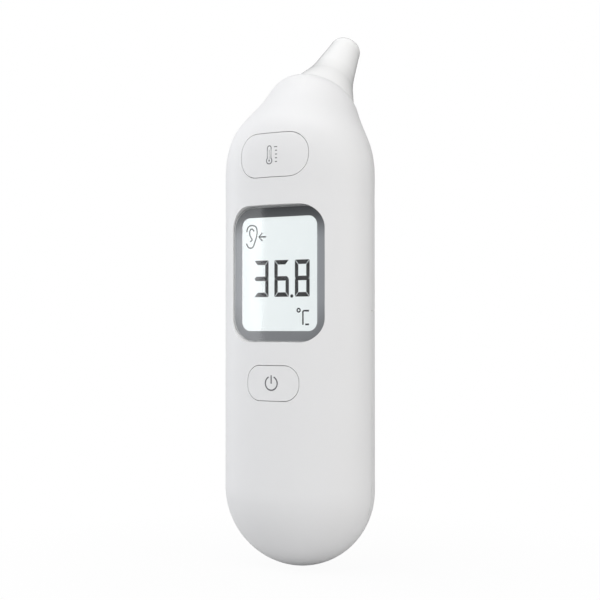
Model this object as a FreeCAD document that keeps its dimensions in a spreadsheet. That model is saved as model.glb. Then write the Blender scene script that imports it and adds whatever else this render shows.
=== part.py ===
import FreeCAD, Part
import os
import re
import Sketcher
from FreeCAD import Placement, Rotation, Vector

# Digital ear thermometer, hand held, millimetres.
# Z runs up the long axis from its lower end, X to the right of someone who faces the display,
# and the display looks along -Y. The probe leans back, towards +Y, in the YZ plane.

SIZES = {
    # housing: an elliptical barrel that ends in a half ellipsoid
    "half_width": 23.6, "half_depth": 15.8, "dome_height": 22.6, "barrel_top": 100, "wall": 1.9,
    # parting line: an upright plane, then an arc back to a level line under the probe
    "parting_plane": 0.4, "parting_gap": 0.12, "parting_straight": 119.4, "parting_radius": 7.6,
    "parting_back": 45,
    "cover_split": 74.5, "lip_reach": 1.5, "lip_inset": 1.2, "lip_slack": 0.1, "far": 60,
    # probe axis, from the middle of its seat on the housing
    "seat_back": 11.1, "seat_height": 136.3, "probe_tilt": 41.3, "seat_radius": 11.7,
    "seat_bore": 6, "seat_depth": 2, "neck_slack": 0.1, "neck_wall": 0.9,
    # probe cover: shoulder, crease, slender cone and rounded tip
    "cover_base": 11.75, "cover_lift": 0.15, "crease_reach": 12.57, "crease_radius": 7.09,
    "crease_blend": 32.4, "blend_below": 0.249, "blend_above": 0.2115,
    "cone_reach": 27.98, "cone_radius": 4.67, "tip_round": 1.61, "tip_reach": 29.6, "tip_hole": 3.06,
    "cover_wall": 0.55, "cover_slack": 0.3, "film_low": 29, "film_thick": 0.2, "film_rim": 0.25,
    # display window in its straight-cut recess
    "window_width": 30.4, "window_height": 39.05, "window_corner": 6.8, "window_centre": 84.92,
    "window_front": -12, "window_thick": 0.8, "window_slack": 0.1, "collar_wall": 1.2,
    "sight_width": 25.1, "sight_height": 32.8, "sight_corner": 2.8, "mask_thick": 0.12,
    "tape_thick": 0.15, "tape_width": 1.4, "ledge_thick": 0.9, "ledge_inside": 0.45,
    # liquid crystal display and its backlight
    "glass_width": 28.6, "glass_height": 37.2, "glass_thick": 2.6, "glass_front": -9.5,
    "light_thick": 2.3, "light_height": 33, "frame_wall": 1, "frame_back": -3.9,
    # main board
    "board_front": -3.9, "board_thick": 1.2, "board_low": 40, "board_step": 63, "board_high": 122,
    "board_narrow": 12.6, "board_wide": 15, "board_chamfer": 4,
    # buttons
    "measure_centre": 118.7, "measure_width": 22.2, "measure_height": 12.5, "measure_corner": 5.8,
    "measure_back": -10.5, "button_pocket": -13.7, "power_centre": 53.7, "power_width": 16.8,
    "power_height": 9.9, "power_corner": 4.4, "power_back": -11.5, "button_gap": 0.18, "button_skin": 1.4,
    "flange_reach": 0.8, "flange_thick": 0.7, "stem_radius": 1.5,
    "switch_side": 6, "switch_depth": 3.5, "plunger_radius": 1.2, "plunger_slack": 0.1,
    "plunger_front": -8.3, "plunger_depth": 1.7,
    # two AAA cells side by side in a tray
    "cell_radius": 5.25, "cell_body": 43.7, "cell_length": 44.5, "nub_radius": 1.9,
    "cell_apart": 5.6, "cell_back": 6.7, "tray_low": 15.4, "tray_high": 66.4, "tray_end": 1.2,
    "tray_half": 12.4, "tray_slack": 0.2, "plate_thick": 0.4, "plate_half": 3.6, "tail_half": 0.6,
    "spring_length": 3.3, "spring_wire": 0.28, "spring_wide": 3.2, "spring_turns": 3, "spring_lean": -12,
    # screws, by shank: board and tray 2 mm, probe 1.2 mm
    "shank": 0.98, "pilot": 1.0, "clearance": 1.15, "head_radius": 1.9, "head_depth": 1.3,
    "boss_radius": 2.3, "board_boss_side": 10.5, "board_boss_low": 44.5, "board_boss_wide": 12.6,
    "board_boss_high": 108.7, "tray_boss_side": 15.6, "tray_boss_low": 34, "tray_boss_high": 60,
    "case_boss_side": 18.1, "case_boss_height": 70.5, "tray_floor": 1.25, "ear_thick": 1.6,
    "case_boss_end": 1, "ear_low": 67, "ear_joint": 74.8, "ear_high": 78, "screw_reach": 5,
    "probe_screw_ring": 8.2, "probe_shank": 0.58, "probe_pilot": 0.6, "probe_clearance": 0.75,
    "probe_head": 1.1, "probe_screw_high": 1.3,
    # sliding rails of the battery cover
    "rail_low": 27, "rail_high": 65, "rail_inset": 2.2, "rail_thick": 1.4, "rail_reach": 2.6,
    "ridge_low": 1.2, "ridge_high": 1.9, "ridge_inset": 2.7, "ridge_slack": 0.3, "root_inset": 1.5,
    "tab_half": 2.9, "tab_low": 70, "tab_high": 78.2, "tab_thick": 1.1,
    "grip_width": 14, "grip_bar": 1.2, "grip_step": 3, "grip_low": 60, "grip_proud": 0.4,
    # sensor inside the probe
    "guide_outer": 2.3, "guide_inner": 1.8, "guide_low": 13.6, "guide_high": 28.1,
    "holder_radius": 3.95, "holder_low": 6.1, "holder_high": 17.6, "nozzle_high": 28.6, "nozzle_rim": 0.65,
    "sensor_foot": 8.8, "sensor_flange": 2.7, "sensor_can": 2.2, "sensor_top": 13.2,
    "disc_low": 4.1, "disc_thick": 0.8, "disc_radius": 4.6, "pin_radius": 0.22, "pin_ring": 1.27,
    "pin_low": 3.6, "ribbon_half": 2.5, "ribbon_thick": 0.2, "ribbon_top": 3.9, "ribbon_bend": 10,
    "ribbon_back": -2, "ribbon_low": 117.5, "window_low": 28.15, "window_disc": 0.45,
    "buzzer_centre": 107, "buzzer_radius": 6, "buzzer_depth": 2.9,
}

# Sections of the head between the barrel and the probe's seat:
# how far back, how high, lean in degrees, half width, half depth.
HEAD_RINGS = [
    (0, 100, 0, 23.6, 15.8),
    (0, 104, 0, 23.6, 15.8),
    (0, 108.5, 0, 23.6, 15.8),
    (0.05, 115.6, 4.9, 23.55, 16.1),
    (1.05, 123.5, 15.5, 21.7, 16.3),
    (3.55, 128.3, 20.5, 18.7, 15.15),
    (7.55, 133.4, 33.1, 15.2, 13.45),
]

doc = FreeCAD.newDocument("ear_thermometer")
sheet = doc.addObject("Spreadsheet::Sheet", "Sizes")
nodes = []


def fill_sheet():
    """Write every driving size into the sheet, one row each."""
    for letter, section in zip("abcdefg", HEAD_RINGS):
        for word, number in zip(("back", "height", "lean", "wide", "deep"), section):
            SIZES[f"ring_{letter}_{word}"] = number
    for row, (alias, number) in enumerate(SIZES.items(), start=1):
        sheet.set(f"A{row}", str(number))
        sheet.setAlias(f"A{row}", alias)
    doc.recompute()


def cells(text):
    """Turn the size names in an expression into references to the sheet."""
    return re.sub(r"[a-z][a-z_]+", lambda m: "Sizes." + m[0] if m[0] in SIZES else m[0], str(text))


def value(text):
    """Number that an expression of size names has now."""
    return float(sheet.evalExpression(cells(text)))


def bind(thing, **sizes):
    """Tie properties to expressions; x, y and z stand for the placement's own."""
    for name, text in sizes.items():
        path = f"Placement.Base.{name}" if name in ("x", "y", "z") else name
        thing.setExpression(path, cells(text))
    return thing


def make(kind, name, **sizes):
    """New document object of a kind, with bound sizes."""
    thing = doc.addObject(kind, name)
    thing.Label = name
    return bind(thing, **sizes)


def node(thing, name):
    """Keep a finished sub-part under its own name."""
    thing.Label = name
    nodes.append(thing)
    return thing


def box(name, x, y, z):
    """Block between two expressions along each axis."""
    return make("Part::Box", name, x=x[0], y=y[0], z=z[0], Length=f"({x[1]}) - ({x[0]})",
                Width=f"({y[1]}) - ({y[0]})", Height=f"({z[1]}) - ({z[0]})")


def cylinder(name, radius, start, end, across=("0", "0"), along="z"):
    """Round bar from start to end along z or y; across gives the other two coordinates."""
    bar = make("Part::Cylinder", name, Radius=radius, Height=f"({end}) - ({start})", x=across[0])
    if along == "y":
        bar.Placement = Placement(Vector(), Rotation(Vector(1, 0, 0), -90))
        return bind(bar, x=across[0], y=start, z=across[1])
    return bind(bar, y=across[1], z=start)


def on_probe(thing):
    """Turn a thing that was built up its own Z onto the probe's axis."""
    thing.Placement = Placement(Vector(), Rotation(Vector(1, 0, 0), -value("probe_tilt")))
    bind(thing, x="0", y="seat_back", z="seat_height")
    thing.setExpression("Placement.Rotation.Angle", cells("-probe_tilt"))
    return thing


def cut(name, base, *tools):
    """Base less one or more tools."""
    tool = tools[0] if len(tools) == 1 else fuse(name + "_tools", *tools)
    result = make("Part::Cut", name)
    result.Base, result.Tool = base, tool
    return result


def fuse(name, *shapes):
    """Union."""
    result = make("Part::MultiFuse", name)
    result.Shapes = list(shapes)
    return result


def group(name, *shapes):
    """Separate solids under one name."""
    result = make("Part::Compound", name)
    result.Links = list(shapes)
    return result


def common(name, first, second):
    """What two shapes share."""
    result = make("Part::MultiCommon", name)
    result.Shapes = [first, second]
    return result


def sketch(body, role, lift):
    """Empty sketch of a body, parallel to one of its origin planes."""
    plane = next(item for item in body.Origin.OriginFeatures if item.Role == role)
    drawing = body.newObject("Sketcher::SketchObject", body.Name + "_sketch")
    drawing.AttachmentSupport = [(plane, "")]
    drawing.MapMode = "FlatFace"
    drawing.setExpression("AttachmentOffset.Base.z", cells(lift))
    return drawing


def outline(drawing, points):
    """Closed outline through (across, up) expressions; a third entry bends the edge that follows.

    The bend is an arc's radius, positive where the arc bulges to the right of its direction.
    """
    spots = [Vector(value(point[0]), value(point[1]), 0) for point in points]
    for index, point in enumerate(points):
        start, end = spots[index], spots[(index + 1) % len(spots)]
        edge = Part.LineSegment(start, end)
        if len(point) == 3:
            radius, chord = value(point[2]), end - start
            side = Vector(chord.y, -chord.x, 0).normalize()
            rise = abs(radius) - (radius ** 2 - chord.Length ** 2 / 4) ** 0.5
            edge = Part.Arc(start, (start + end) / 2 + side * rise * (1 if radius > 0 else -1), end)
        drawing.addGeometry(edge, False)

    def end_at(index, spot):
        return 1 if (drawing.getPoint(index, 1) - spot).Length < 1e-6 else 2

    for index, point in enumerate(points):
        before = (index - 1) % len(points)
        here, there = end_at(index, spots[index]), end_at(before, spots[index])
        drawing.addConstraint(Sketcher.Constraint("Coincident", before, there, index, here))
        for kind, text in (("DistanceX", point[0]), ("DistanceY", point[1])):
            rule = drawing.addConstraint(Sketcher.Constraint(kind, -1, 1, index, here, value(text)))
            drawing.setExpression(f"Constraints[{rule}]", cells(text))
        if len(point) == 3:
            rule = drawing.addConstraint(Sketcher.Constraint("Radius", index, abs(value(point[2]))))
            drawing.setExpression(f"Constraints[{rule}]", cells(f"abs({point[2]})"))


def revolved(name, points):
    """Turned piece: an outline of (radius, height) about the piece's own Z."""
    body = make("PartDesign::Body", name)
    drawing = sketch(body, "XZ_Plane", "0")
    outline(drawing, points)
    turn = body.newObject("PartDesign::Revolution", name + "_turn")
    turn.Profile = drawing
    turn.ReferenceAxis = (drawing, ["V_Axis"])
    turn.Angle = 360
    return body


def slab(name, points, back, thick):
    """Prism from an outline of (x, z), from its back face forward to -Y."""
    body = make("PartDesign::Body", name)
    drawing = sketch(body, "XZ_Plane", f"-({back})")
    outline(drawing, points)
    pad = body.newObject("PartDesign::Pad", name + "_pad")
    pad.Profile = drawing
    pad.setExpression("Length", cells(thick))
    return body


def rounded(name, width, height, corner, centre, back, thick):
    """Rounded rectangle facing -Y, centred on X = 0."""
    right, left = f"({width})/2", f"-({width})/2"
    top, bottom = f"{centre} + ({height})/2", f"{centre} - ({height})/2"
    bend = f"({corner})"
    points = [
        (f"{left} + {bend}", bottom), (f"{right} - {bend}", bottom, bend),
        (right, f"{bottom} + {bend}"), (right, f"{top} - {bend}", bend),
        (f"{right} - {bend}", top), (f"{left} + {bend}", top, bend),
        (left, f"{top} - {bend}"), (left, f"{bottom} + {bend}", bend),
    ]
    return slab(name, points, back, thick)


def band(name, outer, inner, low, high):
    """Elliptical tube between two insets from the barrel's surface."""
    walls = []
    for word, inset in (("outer", outer), ("inner", inner)):
        ring = make("Part::Ellipse", f"{name}_{word}_ring", MajorRadius=f"half_width - ({inset})",
                    MinorRadius=f"half_depth - ({inset})", z=low)
        wall = make("Part::Extrusion", f"{name}_{word}", LengthFwd=f"({high}) - ({low})")
        wall.Base, wall.Dir, wall.DirMode, wall.Solid = ring, Vector(0, 0, 1), "Custom", True
        walls.append(wall)
    return cut(name, *walls)


def form(name, inset):
    """Whole housing as one solid, shrunk by an inset: dome, barrel and leaning head."""
    dome = make("Part::Ellipsoid", name + "_dome", Radius1=f"dome_height - ({inset})",
                Radius2=f"half_width - ({inset})", Radius3=f"half_depth - ({inset})", z="dome_height")
    dome.Angle1, dome.Angle2 = -90, 0
    base = make("Part::Ellipse", name + "_base", MajorRadius=f"half_width - ({inset})",
                MinorRadius=f"half_depth - ({inset})", z="dome_height")
    barrel = make("Part::Extrusion", name + "_barrel", LengthFwd="barrel_top - dome_height")
    barrel.Base, barrel.Dir, barrel.DirMode, barrel.Solid = base, Vector(0, 0, 1), "Custom", True
    sections = []
    for letter in "abcdefg"[:len(HEAD_RINGS)]:
        ring = make("Part::Ellipse", f"{name}_ring_{letter}")
        ring.Placement = Placement(Vector(), Rotation(Vector(1, 0, 0), -1))
        bind(ring, MajorRadius=f"ring_{letter}_wide - ({inset})", y=f"ring_{letter}_back",
             MinorRadius=f"ring_{letter}_deep - ({inset})", z=f"ring_{letter}_height")
        ring.setExpression("Placement.Rotation.Angle", cells(f"-ring_{letter}_lean"))
        sections.append(ring)
    seat = make("Part::Ellipse", name + "_seat")
    on_probe(bind(seat, MajorRadius=f"seat_radius - ({inset})", MinorRadius=f"seat_radius - ({inset})"))
    head = make("Part::Loft", name + "_head")
    head.Sections, head.Solid = sections + [seat], True
    return fuse(name, dome, barrel, head)


def side_slab(name, points, half):
    """Prism from an outline of (y, z), as wide as the half width each way along X."""
    body = make("PartDesign::Body", name)
    drawing = sketch(body, "YZ_Plane", f"-({half})")
    outline(drawing, points)
    pad = body.newObject("PartDesign::Pad", name + "_pad")
    pad.Profile = drawing
    pad.setExpression("Length", cells(f"2*({half})"))
    return body


def rear_region(name, gap, drop):
    """Everything behind the parting line, moved back by a gap and down by a drop."""
    front, top = f"parting_plane + ({gap})", f"parting_straight + parting_radius - ({drop})"
    bend = f"parting_radius - ({gap} + ({drop}))/2"
    return side_slab(name, [
        (front, "-half_depth"), ("parting_back", "-half_depth"), ("parting_back", top),
        ("parting_plane + parting_radius", top, bend), (front, "parting_straight"),
    ], "half_width + 5")


def both_sides(name, maker):
    """A left and a right copy of what maker builds for a sign."""
    return [maker(f"{name}_{word}", sign) for word, sign in (("left", "-1"), ("right", "1"))]


def mirrored_box(name, sign, x, y, z):
    """Block whose X span is given on the positive side."""
    span = x if sign == "1" else (f"-({x[1]})", f"-({x[0]})")
    return box(name, span, y, z)


# Screw places on the front shell: distance to the side, height, end of the boss, end of the pilot.
BOSSES = {
    "board_low": ("board_boss_side", "board_boss_low", "board_front"),
    "board_high": ("board_boss_wide", "board_boss_high", "board_front"),
    "tray_low": ("tray_boss_side", "tray_boss_low", "0"),
    "tray_high": ("tray_boss_side", "tray_boss_high", "0"),
    "case": ("case_boss_side", "case_boss_height", "case_boss_end"),
}


def boss_bars(word, radius, start, end):
    """Round bars along Y at a pair of screw places, from start to end measured from the boss end."""
    side, height, face = BOSSES[word]
    return both_sides(f"{word}_bar_{len(doc.Objects)}", lambda name, sign: cylinder(
        name, radius, f"{face} + ({start})", f"{face} + ({end})", (f"{sign}*{side}", height), "y"))


def screws(name, words, grip):
    """Pan head screws at pairs of screw places, through a thickness in front of the head."""
    solids = []
    for word in words:
        heads = boss_bars(word, "head_radius", grip, f"{grip} + head_depth")
        shanks = boss_bars(word, "shank", "-screw_reach", f"{grip} + head_depth/2")
        solids += [fuse(f"{head.Name}_screw", head, shank) for head, shank in zip(heads, shanks)]
    return node(group(name, *solids), name)


def display_cutout(name, slack, back, thick):
    """Rounded block of the display window's outline with a slack all round."""
    return rounded(name, f"window_width + 2*({slack})", f"window_height + 2*({slack})",
                   f"window_corner + {slack}", "window_centre", back, thick)


def button_block(name, word, slack, back, thick):
    """Rounded block of a button's outline with a slack all round."""
    return rounded(name, f"{word}_width + 2*({slack})", f"{word}_height + 2*({slack})",
                   f"{word}_corner + {slack}", f"{word}_centre", back, thick)


def front_shell(wall, behind, lip_space, core):
    """Front half: display recess, button holes, probe seat, bosses and cover rails."""
    skin = cut("front_skin", wall, behind, lip_space)
    ledge_back = "window_front + window_thick + mask_thick + tape_thick + ledge_thick"
    collar = display_cutout("collar", "window_slack + collar_wall", ledge_back, "half_depth")
    recess = display_cutout("recess", "window_slack", f"{ledge_back} - ledge_thick", "half_depth")
    sight = rounded("ledge_hole", "sight_width + 2*ledge_inside", "sight_height + 2*ledge_inside",
                    "sight_corner", "window_centre", "0", "half_depth")
    seat = on_probe(cylinder("seat_block", "seat_radius + 2", "0", "seat_depth"))
    seat.setExpression("Placement.Base.y", cells("seat_back - seat_depth*sin(probe_tilt*1deg)"))
    seat.setExpression("Placement.Base.z", cells("seat_height - seat_depth*cos(probe_tilt*1deg)"))
    posts = []
    for word in BOSSES:
        posts += boss_bars(word, "boss_radius", "-half_depth", "0")
    rail_block = box("rail_block", ("-half_width", "half_width"), ("-3", "rail_reach"), ("0", "cover_split"))
    rail = common("rail", band("rail_band", "root_inset", "rail_inset + rail_thick", "rail_low", "rail_high"),
                  rail_block)
    inside = common("front_inside", fuse("front_features", collar, seat, *posts), core)
    whole = fuse("front_whole", skin, inside, rail)
    low, high = "rail_low - 1", "rail_high + 1"
    relief_block = box("relief_block", ("-half_width - 2", "half_width + 2"),
                       ("parting_plane", "rail_reach + 1"), ("0", "cover_split"))
    relief = common("rail_relief", band("relief_band", "-1", "rail_inset", low, high), relief_block)
    groove_block = box("groove_block", ("-half_width", "half_width"),
                       ("ridge_low - ridge_slack", "ridge_high + ridge_slack"), ("0", "cover_split"))
    groove = common("rail_groove", band("groove_band", "root_inset", "ridge_inset + ridge_slack", low, high),
                    groove_block)
    pilots = []
    for word in BOSSES:
        pilots += boss_bars(word, "pilot", "-screw_reach - 0.5", "1")
    holes = [button_block(f"{word}_hole", word, "button_gap", "0", "half_depth + 3")
             for word in ("measure", "power")]
    bore = on_probe(cylinder("seat_bore_tool", "seat_bore", "0", "3*seat_depth"))
    bore.setExpression("Placement.Base.y", cells("seat_back - 2*seat_depth*sin(probe_tilt*1deg)"))
    bore.setExpression("Placement.Base.z", cells("seat_height - 2*seat_depth*cos(probe_tilt*1deg)"))
    bores = [bore] + probe_bars("seat_screw_hole", "probe_clearance", "-2*seat_depth", "1")
    return node(cut("front_shell", whole, recess, sight, relief, groove, *holes, *bores, *pilots),
                "front_shell")


def probe_bars(name, radius, low, high):
    """Three bars along the probe's axis on the screw circle."""
    bars = []
    for index, (across, back) in enumerate((("0", "-1"), ("-0.866", "0.5"), ("0.866", "0.5"))):
        bar = on_probe(make("Part::Cylinder", f"{name}_{index + 1}", Radius=radius,
                            Height=f"({high}) - ({low})"))
        out = f"{back}*probe_screw_ring"
        bind(bar, x=f"{across}*probe_screw_ring",
             y=f"seat_back + ({low})*sin(probe_tilt*1deg) + {out}*cos(probe_tilt*1deg)",
             z=f"seat_height + ({low})*cos(probe_tilt*1deg) - {out}*sin(probe_tilt*1deg)")
        bars.append(bar)
    return bars


def rear_shell(wall, behind, core):
    """Upper rear cover with its inner lip and the two screw ears under the battery cover."""
    reach = rear_region("lip_region", "-lip_reach", "parting_gap")
    strip = cut("lip_outside", reach, behind, core)
    blank = cut("rear_blank", common("rear_wall", wall, reach), strip)
    below = box("rear_below", ("-far", "far"), ("-far", "far"), ("-far", "cover_split"))
    upper = cut("rear_upper", blank, below)

    def ear(name, sign):
        """One screw ear with its root in the wall."""
        depth = ("case_boss_end", "case_boss_end + ear_thick")
        inner = "case_boss_side - boss_radius"
        leaf = mirrored_box(name + "_leaf", sign, (inner, "case_boss_side + boss_radius"), depth,
                            ("ear_low", "ear_high"))
        root = mirrored_box(name + "_root", sign, (inner, "half_width"), depth, ("ear_joint", "ear_high"))
        return common(name, fuse(name + "_plate", leaf, root), core)

    holes = boss_bars("case", "clearance", "-1", "ear_thick + 1")
    return node(cut("rear_shell", fuse("rear_whole", upper, *both_sides("ear", ear)), *holes), "rear_shell")


def battery_cover(wall, behind):
    """Sliding lower rear cover with side ridges, a latch tab and grip bars."""
    above = box("cover_above", ("-far", "far"), ("-far", "far"), ("cover_split - parting_gap", "3*far"))
    skin = cut("cover_skin", common("cover_wall_piece", wall, behind), above)
    ridge = common("cover_ridge", band("ridge_band", "root_inset", "ridge_inset", "rail_low", "rail_high"),
                   box("ridge_box", ("-half_width", "half_width"), ("ridge_low", "ridge_high"),
                       ("0", "cover_split")))
    middle = box("tab_box", ("-tab_half", "tab_half"), ("0", "half_depth"), ("tab_low", "tab_high"))
    deep = "rail_inset + tab_thick"
    tab = common("latch_tab", band("tab_band", "rail_inset", deep, "tab_low", "tab_high"), middle)
    root_band = band("tab_root_band", "root_inset", deep, "tab_low", "cover_split - 2*parting_gap")
    root = common("latch_root", root_band, middle)
    bars = [rounded(f"grip_{index}", "grip_width - 2*grip_bar*" + str(index), "grip_bar", "0.45*grip_bar",
                    f"grip_low + {index}*grip_step", "half_depth + 3", "half_depth") for index in range(3)]
    grips = common("grip_bars", band("grip_band", "-grip_proud", "root_inset", "grip_low - 2*grip_bar",
                                     "cover_split"), fuse("grip_blocks", *bars))
    return node(fuse("battery_cover", skin, ridge, tab, root, grips), "battery_cover")


def soften(body, face_y, radius):
    """Round the edges of a slab's face at a depth."""
    doc.recompute()
    blank = body.Tip
    edges = [f"Edge{number}" for number, edge in enumerate(blank.Shape.Edges, start=1)
             if all(abs(vertex.Y - value(face_y)) < 1e-6 for vertex in edge.Vertexes)]
    round_off = body.newObject("PartDesign::Fillet", body.Name + "_round")
    round_off.Base = (blank, edges)
    round_off.setExpression("Radius", cells(radius))


def display_stack():
    """Window, printed mask, tape, glass, backlight, frame and contact strips, front to back."""
    window = display_cutout("display_window", "0", "window_front + window_thick", "window_thick")
    soften(window, "window_front", "window_slack*2")
    node(window, "display_window")
    mask_back = "window_front + window_thick + mask_thick"
    mask = display_cutout("mask_sheet", "-3*window_slack", mask_back, "mask_thick")
    sight = rounded("mask_hole", "sight_width", "sight_height", "sight_corner", "window_centre", "0",
                    "half_depth")
    node(cut("display_mask", mask, sight), "display_mask")
    tape_back = f"{mask_back} + tape_thick"
    tape = display_cutout("tape_sheet", "-3*window_slack", tape_back, "tape_thick")
    hole = display_cutout("tape_hole", "-3*window_slack - tape_width", "0", "half_depth")
    node(cut("window_tape", tape, hole), "window_tape")

    half, top = "glass_width/2", "window_centre + glass_height/2"
    glass_back = "glass_front + glass_thick"
    node(box("lcd_panel", (f"-{half}", half), ("glass_front", glass_back), (f"{top} - glass_height", top)),
         "lcd_panel")
    light_front = f"{glass_back} + 0.05"
    node(box("lcd_backlight", (f"-{half}", half), (light_front, f"{light_front} + light_thick"),
             (f"{top} - light_height", top)), "lcd_backlight")
    low = f"{top} - glass_height"
    rim, open_space = "window_slack + frame_wall", "window_slack"
    outer = box("frame_outer", (f"-{half} - ({rim})", f"{half} + {rim}"), ("glass_front + 0.2", "frame_back"),
                (f"{low} - ({rim})", f"{top} + {rim}"))
    inner = box("frame_inner", (f"-{half} - {open_space}", f"{half} + {open_space}"), ("-half_depth", "0"),
                (f"{low} - {open_space}", f"{top} + {open_space}"))
    node(cut("lcd_frame", outer, inner), "lcd_frame")
    strips = [box(f"strip_{index}", (f"-{half} + 1", f"{half} - 1"), (glass_back, "board_front"),
                  (f"{low} + 0.4 + {index}*1.4", f"{low} + 1.3 + {index}*1.4")) for index in range(2)]
    node(group("contact_strips", *strips), "contact_strips")


def main_board():
    """Printed circuit board with what is soldered to it."""
    wide, narrow, back = "board_wide", "board_narrow", "board_front + board_thick"
    right = [(narrow, "board_low"), (narrow, "board_step"), (wide, "board_step"),
             (wide, "board_high - board_chamfer"), (f"{wide} - board_chamfer", "board_high")]
    left = [(f"-({x})", z) for x, z in reversed(right)]
    blank = slab("board_blank", right + left, back, "board_thick")
    holes = []
    for word in ("board_low", "board_high"):
        holes += boss_bars(word, "clearance", "-1", "board_thick + 1")
    node(cut("main_board", blank, *holes), "main_board")

    node(box("controller_chip", ("-5", "5"), (back, f"{back} + 1.4"), ("86", "96")), "controller_chip")
    small = [box(f"chip_{column}_{row}", (f"-13.2 + {column}*22", f"-11.6 + {column}*22"),
                 (back, f"{back} + 0.6"), (f"76 + {row}*4.2", f"78.6 + {row}*4.2"))
             for column in range(2) for row in range(6)]
    node(group("board_components", *small), "board_components")
    node(rounded("quartz_crystal", "8", "3.2", "1.5", "80.5", f"{back} + 2.2", "2.2"), "quartz_crystal")
    place = ("0", "buzzer_centre")
    node(cylinder("buzzer", "buzzer_radius", back, f"{back} + buzzer_depth", place, "y"), "buzzer")
    node(box("ribbon_connector", ("-ribbon_half - 1", "ribbon_half + 1"), (back, f"{back} + 1.5"),
             ("ribbon_low - 2.6", "ribbon_low")), "ribbon_connector")


def push_button(word, outer):
    """One button with its plunger and the switch that it works."""
    back = f"{word}_back"
    cap = common(f"{word}_cap", button_block(f"{word}_block", word, "0", back, "half_depth"), outer)
    flange = button_block(f"{word}_flange", word, "flange_reach", back, "flange_thick")
    open_end = f"{back} + 1"
    pocket = button_block(f"{word}_pocket", word, "-button_skin", open_end, f"{open_end} - button_pocket")
    stem = cylinder(f"{word}_stem", "stem_radius", "button_pocket - 0.5", "plunger_front",
                    ("0", f"{word}_centre"), "y")
    hollow = cut(f"{word}_hollow", fuse(f"{word}_solid", cap, flange), pocket)
    node(fuse(f"{word}_button", hollow, stem), f"{word}_button")

    place = ("0", f"{word}_centre")
    inner_end = "plunger_front + plunger_depth"
    plunger = cylinder(f"{word}_plunger", "plunger_radius", "plunger_front", inner_end, place, "y")
    node(plunger, f"{word}_plunger")
    low, high = f"{word}_centre - switch_side/2", f"{word}_centre + switch_side/2"
    case = box(f"{word}_case", ("-switch_side/2", "switch_side/2"),
               ("board_front - switch_depth", "board_front"), (low, high))
    well = cylinder(f"{word}_well", "plunger_radius + plunger_slack", "board_front - switch_depth - 1",
                    f"{inner_end} + 1", place, "y")
    node(cut(f"{word}_switch", case, well), f"{word}_switch")


def battery_tray():
    """Moulded tray with two troughs, tail slots and four screw lugs."""
    block = box("tray_block", ("-tray_half", "tray_half"), ("0", "cell_back"), ("tray_low", "tray_high"))

    def lugs(word):
        """Pair of flat lugs at one height."""
        return both_sides(f"lug_{word}", lambda name, sign: mirrored_box(
            name, sign, ("tray_half - 0.5", "tray_boss_side + boss_radius"), ("0", "tray_floor"),
            (f"tray_boss_{word} - boss_radius", f"tray_boss_{word} + boss_radius")))

    troughs = both_sides("trough", lambda name, sign: cylinder(
        name, "cell_radius + tray_slack", "tray_low + tray_end", "tray_high - tray_end",
        (f"{sign}*cell_apart", "cell_back")))
    top = "tray_high - tray_end"
    slots = both_sides("tail_slot", lambda name, sign: box(
        name, (f"{sign}*cell_apart - tail_half - 0.3", f"{sign}*cell_apart + tail_half + 0.3"),
        ("-1", "cell_back/2"), (f"{top} - plate_thick - 0.4", top)))
    holes = boss_bars("tray_low", "clearance", "-1", "3") + boss_bars("tray_high", "clearance", "-1", "3")
    whole = fuse("tray_whole", block, *lugs("low"), *lugs("high"))
    return node(cut("battery_tray", whole, *troughs, *slots, *holes), "battery_tray")


def cell(name, sign, low, nub_up):
    """One AAA cell, its nub at the top or at the bottom."""
    place = (f"{sign}*cell_apart", "cell_back")
    nub = "cell_length - cell_body"
    start = low if nub_up else f"{low} + {nub}"
    can = cylinder(name + "_can", "cell_radius", start, f"{start} + cell_body", place)
    nub_low = f"{low} + cell_body - 1" if nub_up else low
    tip = cylinder(name + "_nub", "nub_radius", nub_low, f"{nub_low} + {nub} + 1", place)
    return node(fuse(name, can, tip), name)


def plate(name, sign, low):
    """Square contact plate across one cell's axis."""
    centre = f"{sign}*cell_apart"
    return box(name, (f"{centre} - plate_half", f"{centre} + plate_half"),
               ("cell_back - plate_half", "cell_back + plate_half"), (low, f"{low} + plate_thick"))


def coil(name, sign, low):
    """Contact spring: a round wire wound on a cone."""
    path = make("Part::Helix", name + "_path", Height="spring_length - 2*spring_wire",
                Pitch="(spring_length - 2*spring_wire)/spring_turns", Radius="spring_wide")
    path.setExpression("Angle", cells("spring_lean"))
    path.Style = 1
    wire = make("Part::Circle", name + "_wire", Radius="spring_wire", x="spring_wide")
    wire.Placement = Placement(Vector(value("spring_wide"), 0, 0), Rotation(Vector(1, 0, 0), 90))
    sweep = make("Part::Sweep", name)
    sweep.Sections, sweep.Spine, sweep.Solid, sweep.Frenet = [wire], (path, ["Edge1"]), True, True
    bind(sweep, x=f"{sign}*cell_apart", y="cell_back", z=f"{low} + spring_wire")
    return sweep


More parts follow.
